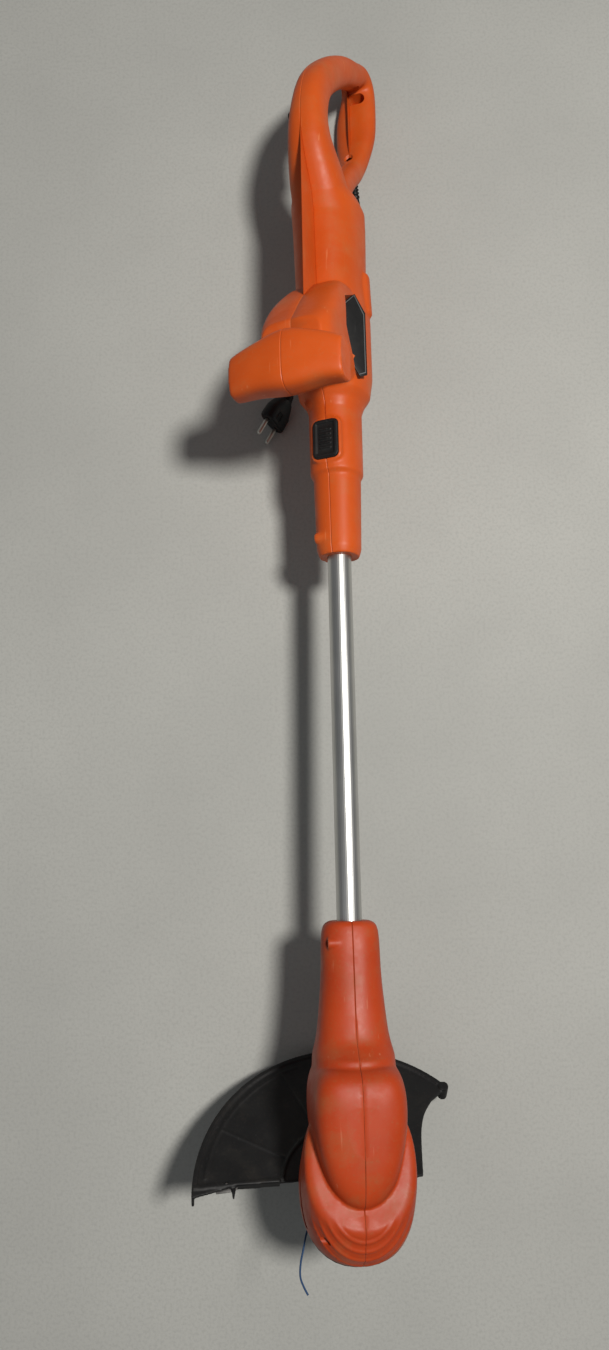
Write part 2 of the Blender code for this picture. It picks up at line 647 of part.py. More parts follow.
def motor(frame):
    r = MOTOR_RADIUS
    can = [(0, 54), (r, 54), (r, 4), (r - 1.6, 4), (r - 1.6, 52.4), (0, 52.4)]
    turned("motor_can", can, frame, STEEL, steps=32)
    plate = [(r, 3.7), (r, 1.2), (SHAFT_RADIUS + GAP, 1.2), (SHAFT_RADIUS + GAP, 3.7)]
    turned("motor_end_plate", plate, frame, GREY_PLASTIC, hollow=True)
    for name, side in (("magnet_left", -1), ("magnet_right", 1)):
        outer = arc(r - 1.9, side * 35, side * 145, 10)
        inner = arc(r - 6.5, side * 145, side * 35, 10)
        mesh_object(name, extruded(outer + inner, 12, 46), frame, GREY_PLASTIC)
    bore = SHAFT_RADIUS + GAP
    turned("armature", [(14.5, 42), (14.5, 16), (bore, 16), (bore, 42)], frame, COPPER, hollow=True)
    turned("commutator", [(6, 14), (6, 7), (bore, 7), (bore, 14)], frame, COPPER, hollow=True, steps=24)
    for name, side in (("brush_left", -1), ("brush_right", 1)):
        x_near, x_far = 6 + GAP, 15
        mesh_object(name, box((min(side * x_near, side * x_far), -2.5, 8),
                              (max(side * x_near, side * x_far), 2.5, 13)), frame, GREY_PLASTIC)
    rod("motor_shaft", SHAFT_RADIUS, -71, 50, frame, STEEL, steps=20)
    rod("upper_bearing", 6.5, 44.5, 49.5, frame, STEEL, bore=SHAFT_RADIUS + GAP, steps=20)
    fan(frame)


def fan(frame):
    bore = SHAFT_RADIUS + GAP
    disc = [(6, -14), (6, -24), (28, -24), (28, -26), (bore, -26), (bore, -14)]
    wheel = turned("cooling_fan", disc, frame, BLACK, hollow=True)
    blades = 9
    for i in range(blades):
        vane = mesh_object(f"vane_{i}", box((5, -0.8, -24.6), (27, 0.8, -14.5)), frame, BLACK)
        vane.rotation_euler = (0, 0, 2 * math.pi * i / blades)
        join(wheel, vane)


def cutting_head(frame):
    top, low, r = HOUSING_TOP, HOUSING_BOTTOM, HOUSING_RADIUS
    bore = SHAFT_RADIUS + GAP
    cup = [(r - 1.5, top), (r, top - 1.5), (r, low), (r - 2.2, low), (r - 2.2, top - 2.4), (6, top - 2.4),
           (6, -70), (bore, -70), (bore, top)]
    housing = turned("spool_housing", cup, frame, BLACK, hollow=True, steps=40)
    angle = math.degrees(math.atan2(EXIT_R, EXIT_S))
    holder = empty("eyelet_frame", frame, (0, 0, LINE_LEVEL), (0, 0, angle))
    cut(housing, rod("eyelet_way", 3.3, r - 6, r + 6, holder, BLACK, axis="X", steps=20))
    eyelet = [(1.2, 3.6), (4.2, 3.6), (4.2, 2.4), (3.0, 2.4), (3.0, -2.0), (1.2, -2.0)]
    turned("line_eyelet", [(a, b + r - 1.6) for a, b in eyelet[1:]] + [(1.2, 3.6 + r - 1.6)],
           holder, BRASS, axis="X", steps=20, hollow=True)
    flange, hub = 31.0, 12.0
    bobbin = [(flange, -53.5), (flange, -55.0), (hub, -55.0), (hub, -66.5), (flange, -66.5), (flange, -68.0),
              (6.4, -68.0), (6.4, -53.5)]
    turned("spool", bobbin, frame, GREY_PLASTIC, hollow=True)
    turned("line_winding", [(26, -55.4), (27, -58), (27, -63.5), (26, -66.1), (hub + GAP, -66.1),
                            (hub + GAP, -55.4)], frame, NYLON_BLUE, hollow=True)
    cap = [(0, -73.5), (r - 2.6, -73.5), (r - 2.6, -77.3), (r - 4, -78.8), (15, -78.8), (13, -81), (0, -81)]
    turned("spool_cap", cap, frame, BLACK, steps=40)
    lever_at = (20.0, 12.0)
    lever = [(lever_at[0] + a, lever_at[1] + b) for a, b in
             arc(4, -90, 90, 7) + [(4, -14), (1, -20), (-3, -20), (-4, -12)]]
    pawl = mesh_object("feed_lever", extruded(lever, -51.5, -48.5), frame, GREY_PLASTIC, (*lever_at, -50))
    cut(pawl, rod("lever_bore", 1.2 + GAP, -60, -40, frame, STEEL, (*lever_at, 0), steps=16))
    rod("lever_pin", 1.2, -52.5, -47.2, frame, STEEL, (*lever_at, 0), steps=16)
    wire("cutting_line", line_points(), LINE_RADIUS, frame, NYLON_BLUE)


LINE_LEVEL = -60.0
EXIT_S, EXIT_R = -35.5, -17.0
LINE_ROUTE = [(-32.5, -15.6), (-37.4, -18.5), (-41.2, -27.0), (-44.4, -39.0), (-47.5, -50.0), (-48.7, -61.0),
              (-46.5, -69.0), (-43.5, -75.5)]


def line_points():
    return [(s, r, LINE_LEVEL) for s, r in smooth_path(LINE_ROUTE, 24)]


# ---- mains lead -------------------------------------------------------------
PLUG_AT, PLUG_HEADING, PLUG_LEAN = (-64.5, 697.0, 17.3), 149.0, 63.0
PLUG_LENGTH = 38.0
CORD_MIDDLE = [(37.0, 922.0, 4.3), (35.0, 892.0, 3.9), (25.0, 852.0, 3.9), (8.0, 808.0, 3.9), (-12.0, 775.0, 4.3)]
CORD_LIFT = [(-28.0, 752.0, 10.0)]


def plug(frame):
    holder = empty("plug_frame", frame, PLUG_AT, (0, 0, PLUG_HEADING))
    body_rows = [                # distance behind the face, half width, half thickness
        (0, 17.5, 8.0), (-3, 18.0, 8.6), (-14, 17.5, 8.6), (-24, 12.0, 8.0), (-34, 6.5, 6.5),
        (-PLUG_LENGTH, 5.0, 5.0)]
    lean = math.radians(PLUG_LEAN)
    rings = []
    for y, wide, thick in body_rows:
        ring = []
        for u, v in superellipse(wide, thick, thick, 3.0, 20):
            ring.append((u * math.cos(lean) - v * math.sin(lean), y, u * math.sin(lean) + v * math.cos(lean)))
        rings.append(ring)
    mesh_object("plug_body", loft(rings), holder, BLACK)
    for name, side in (("plug_pin_1", -1), ("plug_pin_2", 1)):
        centre = (side * PIN_PITCH / 2 * math.cos(lean), 0, side * PIN_PITCH / 2 * math.sin(lean))
        pin = [(0, PIN_LENGTH), (1.4, PIN_LENGTH), (PIN_RADIUS, PIN_LENGTH - 1.5), (PIN_RADIUS, GAP), (0, GAP)]
        turned(name, pin, holder, STEEL, centre, "Y", 16)
    return holder


def mains_cord(frame, gland, plug_holder):
    """The lead, from the gland's tip along the ground to the back of the plug."""
    bpy.context.view_layer.update()
    home = frame.matrix_world.inverted()

    def seen_from_lead(holder, point):
        return tuple(home @ holder.matrix_world @ (Vector(point) * MM) / MM)

    start = [seen_from_lead(gland, (0, 0, GLAND_LENGTH + reach)) for reach in (GAP, 8)]
    end = [seen_from_lead(plug_holder, (0, -PLUG_LENGTH - reach, 0)) for reach in (10, 2 * GAP)]
    route = start + CORD_MIDDLE + CORD_LIFT + end
    wire("mains_cord", smooth_path(route, 26), CORD_RADIUS, frame, BLACK)


# ---- assembly ---------------------------------------------------------------
def rest_on_ground(root):
    """Move the root so that the tool's box stands on the origin, bottom centre."""
    bpy.context.view_layer.update()
    graph = bpy.context.evaluated_depsgraph_get()
    lows, highs = Vector((9, 9, 9)), Vector((-9, -9, -9))
    for obj in PARTS.objects:
        if obj.type != "MESH":
            continue
        ready = obj.evaluated_get(graph)
        for vert in ready.data.vertices:
            place = ready.matrix_world @ vert.co
            lows = Vector(map(min, lows, place))
            highs = Vector(map(max, highs, place))
    middle = (lows + highs) / 2
    root.location = (-middle.x, -middle.y, -lows.z)


clear_scene()
PARTS = new_collection("string_trimmer")
CUTTERS = new_collection("cutters")

tool = empty("tool")
shaft_frame = empty("shaft_frame", tool, (0, 0, 0), (-TUBE_PITCH, 0, 0))
head_frame = empty("head_frame", shaft_frame, (0, 0, 0), (0, HEAD_ROLL, 0))
handle_frame = empty("handle_frame", shaft_frame, (0, HANDLE_START, 0), (0, HANDLE_ROLL, 0))
spool_frame = empty("spool_frame", head_frame, (0, 0, 0), (-SPOOL_TILT, 0, 0))
lead_frame = empty("lead_frame")

gland_frame = empty("gland_frame", handle_frame, (0, *GLAND_AT), (90 + GLAND_PITCH, 0, 0))
handle_casing(handle_frame)
release_button(handle_frame)
trigger_group(handle_frame)
lock_off_group(handle_frame)
handle_wiring(handle_frame)
shaft_group(head_frame)
head_casing(head_frame)
base_and_guard(spool_frame)
motor(spool_frame)
cutting_head(spool_frame)
rest_on_ground(tool)
lead_frame.location = (tool.location.x, tool.location.y, 0)
mains_cord(lead_frame, gland_frame, plug(lead_frame))
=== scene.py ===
"""A corded string trimmer lying on a pale floor: its moulded casings, guard, leads, materials and light."""

import json
import math

import bmesh
import bpy
from mathutils import Matrix, Vector

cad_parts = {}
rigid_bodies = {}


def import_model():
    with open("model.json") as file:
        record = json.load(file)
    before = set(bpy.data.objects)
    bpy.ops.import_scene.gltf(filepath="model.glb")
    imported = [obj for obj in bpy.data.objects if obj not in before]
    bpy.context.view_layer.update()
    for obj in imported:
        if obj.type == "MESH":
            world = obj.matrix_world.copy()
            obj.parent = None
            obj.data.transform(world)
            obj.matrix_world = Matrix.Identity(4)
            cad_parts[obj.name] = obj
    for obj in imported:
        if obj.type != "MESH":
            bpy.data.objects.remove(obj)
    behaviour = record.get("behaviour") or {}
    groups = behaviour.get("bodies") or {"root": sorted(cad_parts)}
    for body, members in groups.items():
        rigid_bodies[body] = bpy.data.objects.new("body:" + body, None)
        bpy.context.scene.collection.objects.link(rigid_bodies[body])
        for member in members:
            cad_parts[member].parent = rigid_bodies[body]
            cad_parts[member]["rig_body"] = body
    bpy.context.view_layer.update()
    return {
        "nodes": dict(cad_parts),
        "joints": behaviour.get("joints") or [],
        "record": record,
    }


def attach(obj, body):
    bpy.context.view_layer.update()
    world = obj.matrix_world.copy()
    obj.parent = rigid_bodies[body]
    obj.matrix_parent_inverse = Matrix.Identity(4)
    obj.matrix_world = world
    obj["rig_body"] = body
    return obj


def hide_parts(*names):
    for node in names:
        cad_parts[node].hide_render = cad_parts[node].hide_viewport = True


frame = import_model()

# ---- frames of the parts, lengths in millimetres inside each frame ------------
MM = 0.001
JOINTS = {joint["name"]: joint for joint in frame["joints"]}
MOTOR_AT = Vector(JOINTS["head_turn"]["pos_m"])
TUBE_PITCH, HEAD_ROLL, HANDLE_ROLL, SPOOL_TILT = -3.0, 5.0, -23.0, -46.6
HANDLE_START = 527.0


def turn(degrees, axis):
    return Matrix.Rotation(math.radians(degrees), 4, axis)


def shift(x, y, z):
    return Matrix.Translation((x, y, z))


TOOL = Matrix.Translation(MOTOR_AT) @ Matrix.Scale(MM, 4)
SHAFT = TOOL @ turn(TUBE_PITCH, "X")
HEAD = SHAFT @ turn(HEAD_ROLL, "Y")
HANDLE = SHAFT @ turn(HANDLE_ROLL, "Y") @ shift(0, HANDLE_START, 0)
SPOOL = HEAD @ turn(SPOOL_TILT, "X")
GROUND = Matrix.Translation((MOTOR_AT.x, MOTOR_AT.y, 0)) @ Matrix.Scale(MM, 4)
PLATE_CENTRE, PLATE_LEAN = (29.5, 206.0, 30.5), 46.0
PLATE = HANDLE @ shift(*PLATE_CENTRE) @ turn(PLATE_LEAN, "Y")
GLAND_PITCH, GLAND_LENGTH = 30.0, 26.0
GLAND_SEAT = shift(0, 453.0, -68.0) @ turn(90 + GLAND_PITCH, "X")
GLAND = HANDLE @ GLAND_SEAT
PLUG_HEADING, PLUG_LENGTH = 149.0, 38.0
PLUG = GROUND @ shift(-64.5, 697.0, 17.3) @ turn(PLUG_HEADING, "Z")

GAP = 0.3
WALL = 2.6
CORD_RADIUS = 3.5
LINE_RADIUS = 0.8
LINE_LEVEL = -60.0


# ---- camera -------------------------------------------------------------------
CAMERA_FROM_MOTOR = (-0.0374, 0.2905, 0.887)
CAMERA_PITCH, CAMERA_HEADING = 7.8, -1.13
LENS, SENSOR = 26.67, 36.0


def place_camera():
    data = bpy.data.cameras.new("camera")
    data.lens, data.sensor_fit = LENS, "VERTICAL"
    data.sensor_width = data.sensor_height = SENSOR
    data.clip_start = 0.02
    camera = bpy.data.objects.new("camera", data)
    bpy.context.scene.collection.objects.link(camera)
    camera.location = MOTOR_AT + Vector(CAMERA_FROM_MOTOR)
    camera.rotation_euler = (math.radians(CAMERA_PITCH), 0, math.radians(CAMERA_HEADING))
    bpy.context.scene.camera = camera


place_camera()


# ---- shape helpers --------------------------------------------------------------
def smooth_path(points, count):
    """Catmull-Rom curve through tuples of any length, read at count points."""
    padded = [points[0]] + list(points) + [points[-1]]
    spans = len(points) - 1
    out = []
    for i in range(count):
        t = spans * i / (count - 1)
        k = min(int(t), spans - 1)
        f = t - k
        p0, p1, p2, p3 = padded[k:k + 4]
        out.append(tuple(0.5 * (2 * b + (c - a) * f + (2 * a - 5 * b + 4 * c - d) * f * f
                                + (3 * b - a - 3 * c + d) * f ** 3)
                         for a, b, c, d in zip(p0, p1, p2, p3)))
    return out


def superellipse(half_u, up, down, power, count=56):
    """Points (u, v) of an oval with different heights above and below v = 0."""
    points = []
    for i in range(count):
        angle = 2 * math.pi * (i + 0.5) / count
        c, s = math.cos(angle), math.sin(angle)
        u = half_u * math.copysign(abs(c) ** (2 / power), c)
        v = (up if s > 0 else down) * math.copysign(abs(s) ** (2 / power), s)
        points.append((u, v))
    return points


def loft(bm, rings):
    """Adds a closed solid through rings of equal point count."""
    rows = [[bm.verts.new(p) for p in ring] for ring in rings]
    for low, high in zip(rows, rows[1:]):
        for i in range(len(low)):
            j = (i + 1) % len(low)
            bm.faces.new((low[i], low[j], high[j], high[i]))
    bm.faces.new(rows[0])
    bm.faces.new(rows[-1])
    return bm


def rings_along_y(rows, power, shrink=0.0):
    """Rows of (y, centre z, half width, up, down)."""
    return [[(u, y, z + v) for u, v in superellipse(half - shrink, up - shrink, down - shrink, power)]
            for y, z, half, up, down in rows]


def rings_along_z(rows, power, shrink=0.0):
    """Rows of (z, y from, y to, half width)."""
    rings = []
    for z, y_from, y_to, half in rows:
        middle, reach = (y_from + y_to) / 2, (y_to - y_from) / 2 - shrink
        rings.append([(u, middle + v, z) for u, v in superellipse(half - shrink, reach, reach, power)])
    return rings


def rings_front_to_rear(rows, power):
    """Tilted rings from rows of (front y, front z, rear y, rear z, half width)."""
    rings = []
    for fy, fz, ry, rz, half in rows:
        rings.append([(u, (fy + ry) / 2 + v * (ry - fy) / 2, (fz + rz) / 2 + v * (rz - fz) / 2)
                      for u, v in superellipse(half, 1.0, 1.0, power)])
    return rings


def rings_in_mid_plane(rows, count, power, shrink=0.0):
    """Rings along a path in the YZ plane, rows of (y, z, half thickness, half width, side shift)."""
    path = smooth_path(rows, count)
    rings = []
    for i, (y, z, thick, wide, side) in enumerate(path):
        before, after = path[max(i - 1, 0)], path[min(i + 1, count - 1)]
        along = Vector((0, after[0] - before[0], after[1] - before[1])).normalized()
        across = Vector((0, -along.z, along.y))
        oval = superellipse(wide - shrink, thick - shrink, thick - shrink, power, 36)
        rings.append([Vector((u + side, y, z)) + across * v for u, v in oval])
    return rings


def closed_rim(bm, rings):
    """Adds a rim whose last ring joins back to its first."""
    rows = [[bm.verts.new(p) for p in ring] for ring in rings]
    for low, high in zip(rows, rows[1:] + rows[:1]):
        for i in range(len(low)):
            j = (i + 1) % len(low)
            bm.faces.new((low[i], low[j], high[j], high[i]))
    return bm


def extrude_outline(bm, outline, low, high, axis="Z"):
    """Adds a flat outline drawn out between two levels along Z or along X."""
    put = (lambda p, level: (p[0], p[1], level)) if axis == "Z" else (lambda p, level: (level, p[0], p[1]))
    return loft(bm, [[put(p, low) for p in outline], [put(p, high) for p in outline]])


def arc(radius, start, end, count, centre=(0, 0)):
    angles = [math.radians(start + (end - start) * i / (count - 1)) for i in range(count)]
    return [(centre[0] + radius * math.cos(a), centre[1] + radius * math.sin(a)) for a in angles]


def swing(radius, start, end, count):
    """Points on an arc about the origin, degrees from +Y towards +X."""
    return [(y, x) for x, y in arc(radius, start, end, count)]


def rounded_rectangle(width, length, radius, centre=(0, 0), steps=8):
    points = []
    for sx, sy, start in ((1, 1, 0), (-1, 1, 90), (-1, -1, 180), (1, -1, 270)):
        corner = (centre[0] + sx * (width / 2 - radius), centre[1] + sy * (length / 2 - radius))
        points += arc(radius, start, start + 90, steps, corner)
    return points


def lathe(bm, profile, centre=(0, 0, 0), axis="Z", steps=32):
    """Adds a closed solid turned from (radius, level) points, first and last on the axis or not."""
    upright = {"X": turn(90, "Y"), "Y": turn(-90, "X"), "Z": Matrix.Identity(4)}[axis]
    rings = []
    for radius, level in profile:
        rings.append([Vector(centre) + upright @ Vector((radius * math.cos(a), radius * math.sin(a), level))
                      for a in (2 * math.pi * i / steps for i in range(steps))])
    return loft(bm, rings)


def rod(bm, radius, low, high, centre=(0, 0, 0), axis="Z", steps=32):
    return lathe(bm, [(radius, low), (radius, high)], centre, axis, steps)


def piece(name, bm):
    """An object holding the mesh, still in its own frame's millimetres."""
    bmesh.ops.recalc_face_normals(bm, faces=bm.faces)
    mesh = bpy.data.meshes.new(name)
    bm.to_mesh(mesh)
    bm.free()
    obj = bpy.data.objects.new(name, mesh)
    bpy.context.scene.collection.objects.link(obj)
    return obj


def settle(obj):
    """Makes the object's modifiers part of its mesh."""
    graph = bpy.context.evaluated_depsgraph_get()
    shaped = bpy.data.meshes.new_from_object(obj.evaluated_get(graph))
    old = obj.data
    obj.modifiers.clear()
    obj.data = shaped
    bpy.data.meshes.remove(old)
    return obj


def moulded(name, bm, voxel, passes):
    """Overlapping solids melted into one form with soft blends, as a moulding has."""
    obj = piece(name, bm)
    remesh = obj.modifiers.new("melt", "REMESH")
    remesh.mode, remesh.voxel_size = "VOXEL", voxel
    smooth = obj.modifiers.new("soften", "SMOOTH")
    smooth.factor, smooth.iterations = 0.5, passes
    return settle(obj)


def hollowed(outer, inner):
    """The inner form becomes the inside face of the outer one."""
    bm = bmesh.new()
    bm.from_mesh(inner.data)
    bmesh.ops.reverse_faces(bm, faces=bm.faces)
    bm.from_mesh(outer.data)
    bm.to_mesh(outer.data)
    bm.free()
    bpy.data.objects.remove(inner)
    return outer


def cut(obj, bm):
    """Takes the cutter's solids out of the object."""
    tool = piece("cutter", bm)
    step = obj.modifiers.new("cut", "BOOLEAN")
    step.operation, step.object, step.solver = "DIFFERENCE", tool, "EXACT"
    step.use_self = True
    settle(obj)
    bpy.data.objects.remove(tool)
    return obj


def half_of(whole, side, name, slit=0.12, lip=0.9, sink=0.45):
    """One half of a casing, left (-1) or right (1), its edge eased along the parting line."""
    bm = bmesh.new()
    bm.from_mesh(whole.data)
    everything = bm.verts[:] + bm.edges[:] + bm.faces[:]
    bmesh.ops.bisect_plane(bm, geom=everything, plane_co=(side * lip, 0, 0), plane_no=(1, 0, 0))
    everything = bm.verts[:] + bm.edges[:] + bm.faces[:]
    bmesh.ops.bisect_plane(bm, geom=everything, plane_co=(side * slit, 0, 0), plane_no=(-side, 0, 0),
                           clear_outer=True)
    bm.normal_update()
    rim = [edge for edge in bm.edges if edge.is_boundary]
    moves = {vert: vert.normal.copy() for edge in rim for vert in edge.verts}
    for vert, normal in moves.items():
        normal.x = 0
        vert.co -= normal * sink
    bmesh.ops.triangle_fill(bm, edges=rim, use_beauty=True, normal=(-side, 0, 0))
    return piece(name, bm)


def smooth_by_angle(mesh, degrees):
    mesh.shade_smooth()
    mesh.set_sharp_from_angle(angle=math.radians(degrees))


def finished(obj, place, body, nodes, look, angle=40.0):
    """Puts a piece where it belongs, in metres, with its finish, in place of its CAD nodes."""
    obj.data.transform(place)
    smooth_by_angle(obj.data, angle)
    obj.data.materials.clear()
    obj.data.materials.append(look)
    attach(obj, body)
    if nodes:
        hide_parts(*nodes)
    return obj


# ---- materials ------------------------------------------------------------------
def new_look(name):
    look = bpy.data.materials.new(name)
    look.use_nodes = True
    tree = look.node_tree
    return look, tree, tree.nodes["Principled BSDF"]


def add_node(tree, kind, **sockets):
    node = tree.nodes.new(kind)
    for key, value in sockets.items():
        node.inputs[key.replace("_", " ")].default_value = value
    return node


def noise_of(tree, scale, detail=3.0, stretch=(1, 1, 1)):
    """A noise value fixed to the piece, its scale in features per metre."""
    where = tree.nodes.new("ShaderNodeTexCoord")
    mapping = tree.nodes.new("ShaderNodeMapping")
    mapping.inputs["Scale"].default_value = stretch
    tree.links.new(where.outputs["Object"], mapping.inputs["Vector"])
    texture = add_node(tree, "ShaderNodeTexNoise", Scale=scale, Detail=detail, Roughness=0.6)
    tree.links.new(mapping.outputs["Vector"], texture.inputs["Vector"])
    return texture.outputs["Fac"]


def band_of(tree, value, low, high):
    """The value spread from 0 to 1 between two levels."""
    spread = add_node(tree, "ShaderNodeMapRange", From_Min=low, From_Max=high)
    tree.links.new(value, spread.inputs["Value"])
    return spread.outputs["Result"]


def mixed(tree, factor, first, second):
    """A colour between two others; each is a colour or an output."""
    mix = tree.nodes.new("ShaderNodeMix")
    mix.data_type = "RGBA"
    tree.links.new(factor, mix.inputs["Factor"])
    for socket, colour in ((mix.inputs[6], first), (mix.inputs[7], second)):
        if isinstance(colour, tuple):
            socket.default_value = (*colour, 1.0)
        else:
            tree.links.new(colour, socket)
    return mix.outputs[2]


def scaled(tree, value, factor, operation="MULTIPLY"):
    node = tree.nodes.new("ShaderNodeMath")
    node.operation = operation
    tree.links.new(value, node.inputs[0])
    if isinstance(factor, (int, float)):
        node.inputs[1].default_value = factor
    else:
        tree.links.new(factor, node.inputs[1])
    return node.outputs[0]


def plastic(name, colour, shade, dirt, dirt_share=0.3, rough=(0.38, 0.56), grain=1400.0, relief=0.00010,
            wear=None):
    """Moulded plastic: mottled colour, dust, fine scratches and a sandy mould texture."""
    look, tree, shader = new_look(name)
    base = mixed(tree, band_of(tree, noise_of(tree, 14.0), 0.35, 0.7), colour, shade)
    blotch = band_of(tree, noise_of(tree, 38.0, 6.0), 0.52, 0.75)
    speck = band_of(tree, noise_of(tree, 420.0, 2.0), 0.56, 0.72)
    dusty = scaled(tree, scaled(tree, blotch, 0.65), scaled(tree, speck, 0.35), "ADD")
    base = mixed(tree, scaled(tree, dusty, dirt_share), base, dirt)
    scratch = band_of(tree, noise_of(tree, 260.0, 2.0, (1.0, 0.06, 1.0)), 0.69, 0.74)
    base = mixed(tree, scaled(tree, scratch, 0.22), base, wear or dirt)
    if wear:
        geometry = tree.nodes.new("ShaderNodeNewGeometry")
        edge = band_of(tree, geometry.outputs["Pointiness"], 0.54, 0.62)
        base = mixed(tree, scaled(tree, scaled(tree, edge, noise_of(tree, 160.0)), 0.6), base, wear)
    tree.links.new(base, shader.inputs["Base Color"])
    worn = band_of(tree, noise_of(tree, 60.0, 4.0), 0.3, 0.7)
    span = add_node(tree, "ShaderNodeMapRange", To_Min=rough[0], To_Max=rough[1])
    tree.links.new(worn, span.inputs["Value"])
    tree.links.new(span.outputs["Result"], shader.inputs["Roughness"])
    bump = add_node(tree, "ShaderNodeBump", Strength=0.55, Distance=relief)
    tree.links.new(noise_of(tree, grain, 2.0), bump.inputs["Height"])
    tree.links.new(bump.outputs["Normal"], shader.inputs["Normal"])
    shader.inputs["Specular IOR Level"].default_value = 0.3
    return look


def metal(name, colour, shade, rough=(0.25, 0.4), stretch=(1, 1, 1), scale=300.0):
    """Bare metal with fine drawn or turned lines and dull patches."""
    look, tree, shader = new_look(name)
    lines = noise_of(tree, scale, 3.0, stretch)
    cloudy = band_of(tree, noise_of(tree, 22.0, 4.0), 0.35, 0.7)
    tree.links.new(mixed(tree, scaled(tree, lines, cloudy), colour, shade), shader.inputs["Base Color"])
    span = add_node(tree, "ShaderNodeMapRange", To_Min=rough[0], To_Max=rough[1])
    tree.links.new(lines, span.inputs["Value"])
    tree.links.new(span.outputs["Result"], shader.inputs["Roughness"])
    bump = add_node(tree, "ShaderNodeBump", Strength=0.2, Distance=0.00004)
    tree.links.new(lines, bump.inputs["Height"])
    tree.links.new(bump.outputs["Normal"], shader.inputs["Normal"])
    shader.inputs["Metallic"].default_value = 1.0
    return look


DUST = (0.30, 0.25, 0.19)
LOOKS = {
    "orange_plastic": plastic("orange_casing", (0.56, 0.082, 0.008), (0.49, 0.066, 0.006), (0.38, 0.15, 0.05),
                              0.45, wear=(0.74, 0.30, 0.13)),
    "red_plastic": plastic("head_casing", (0.42, 0.046, 0.007), (0.35, 0.035, 0.006), (0.26, 0.11, 0.04),
                           0.6, wear=(0.58, 0.22, 0.12)),
    "black_plastic": plastic("black_moulding", (0.0045, 0.0045, 0.005), (0.008, 0.008, 0.008), DUST, 0.05,
                             (0.46, 0.66), wear=(0.05, 0.05, 0.05)),
    "cable": plastic("black_cable", (0.004, 0.004, 0.0045), (0.007, 0.007, 0.007), DUST, 0.03,
                     (0.4, 0.55), 900.0),
    "grey_plastic": plastic("grey_moulding", (0.12, 0.12, 0.12), (0.09, 0.09, 0.09), DUST, 0.12),
    "tube_metal": metal("drawn_tube", (0.62, 0.62, 0.60), (0.46, 0.46, 0.45), (0.28, 0.42),
                        (1, 0.01, 1), 900.0),
    "steel": metal("plated_steel", (0.30, 0.29, 0.28), (0.16, 0.15, 0.14), (0.35, 0.5)),
    "winding_copper": metal("enamelled_wire", (0.55, 0.22, 0.10), (0.40, 0.15, 0.06)),
    "brass_fittings": metal("plated_brass", (0.62, 0.60, 0.54), (0.48, 0.45, 0.38)),
    "nylon_line": plastic("blue_line", (0.03, 0.07, 0.16), (0.02, 0.05, 0.12), (0.10, 0.13, 0.17), 0.3),
}
NODE_SLOT = {part["node"]: part["material_slot"] for part in frame["record"]["subparts"]}


# ---- mains lead, its gland and its plug -------------------------------------------
def tube_curve(name, points, radius, look, body):
    """A round cord through points in metres."""
    data = bpy.data.curves.new(name, "CURVE")
    data.dimensions, data.bevel_depth, data.bevel_resolution = "3D", radius, 6
    data.use_fill_caps = True
    spline = data.splines.new("POLY")
    spline.points.add(len(points) - 1)
    for target, point in zip(spline.points, points):
        target.co = (*point, 1.0)
    spline.use_smooth = True
    data.materials.append(look)
    obj = bpy.data.objects.new(name, data)
    bpy.context.scene.collection.objects.link(obj)
    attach(obj, body)
    return obj


def mains_lead():
    start = [tuple(GLAND @ Vector((0, 0, GLAND_LENGTH + reach))) for reach in (GAP, 8)]
    middle = [(37.0, 922.0, 4.3), (35.0, 892.0, 3.9), (25.0, 852.0, 3.9), (8.0, 808.0, 3.9),
              (-12.0, 775.0, 4.3), (-28.0, 752.0, 10.0)]
    end = [tuple(PLUG @ Vector((0, -PLUG_LENGTH - reach, 0))) for reach in (10, 2 * GAP)]
    route = smooth_path(start + [tuple(GROUND @ Vector(p)) for p in middle] + end, 40)
    lead = tube_curve("mains_lead", route, CORD_RADIUS * MM, LOOKS["cable"], "handle")
    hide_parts("mains_cord")
    length = sum((Vector(b) - Vector(a)).length for a, b in zip(route, route[1:]))
    return lead, route[0], length


def cord_gland():
    """The tapered, ribbed sleeve that guards the lead where it leaves the handle."""
    bm = bmesh.new()
    profile = [(2.0, -8.0), (4.7, -8.0), (4.7, 3.0), (6.0, 3.2), (6.0, 4.6)]
    ribs = 6
    for i in range(ribs):
        level = 5.6 + i * 3.3
        radius = 5.5 - 0.2 * i
        profile += [(radius - 0.9, level), (radius - 0.9, level + 1.0), (radius, level + 1.2),
                    (radius, level + 2.6)]
    profile += [(4.3, GLAND_LENGTH), (2.0, GLAND_LENGTH)]
    obj = piece("lead_gland", lathe(bm, profile))
    soften(obj, 0.25)
    return finished(obj, GLAND, "handle", ["cord_gland"], LOOKS["cable"], 50)


def soften(obj, width, segments=2):
    """Rounds the sharp edges, as a moulding or a pressing has them."""
    bevel = obj.modifiers.new("ease", "BEVEL")
    bevel.width, bevel.segments, bevel.limit_method = width, segments, "ANGLE"
    bevel.angle_limit = math.radians(32)
    return settle(obj)


PLUG_LEAN = 63.0                # roll of the row of pins from level


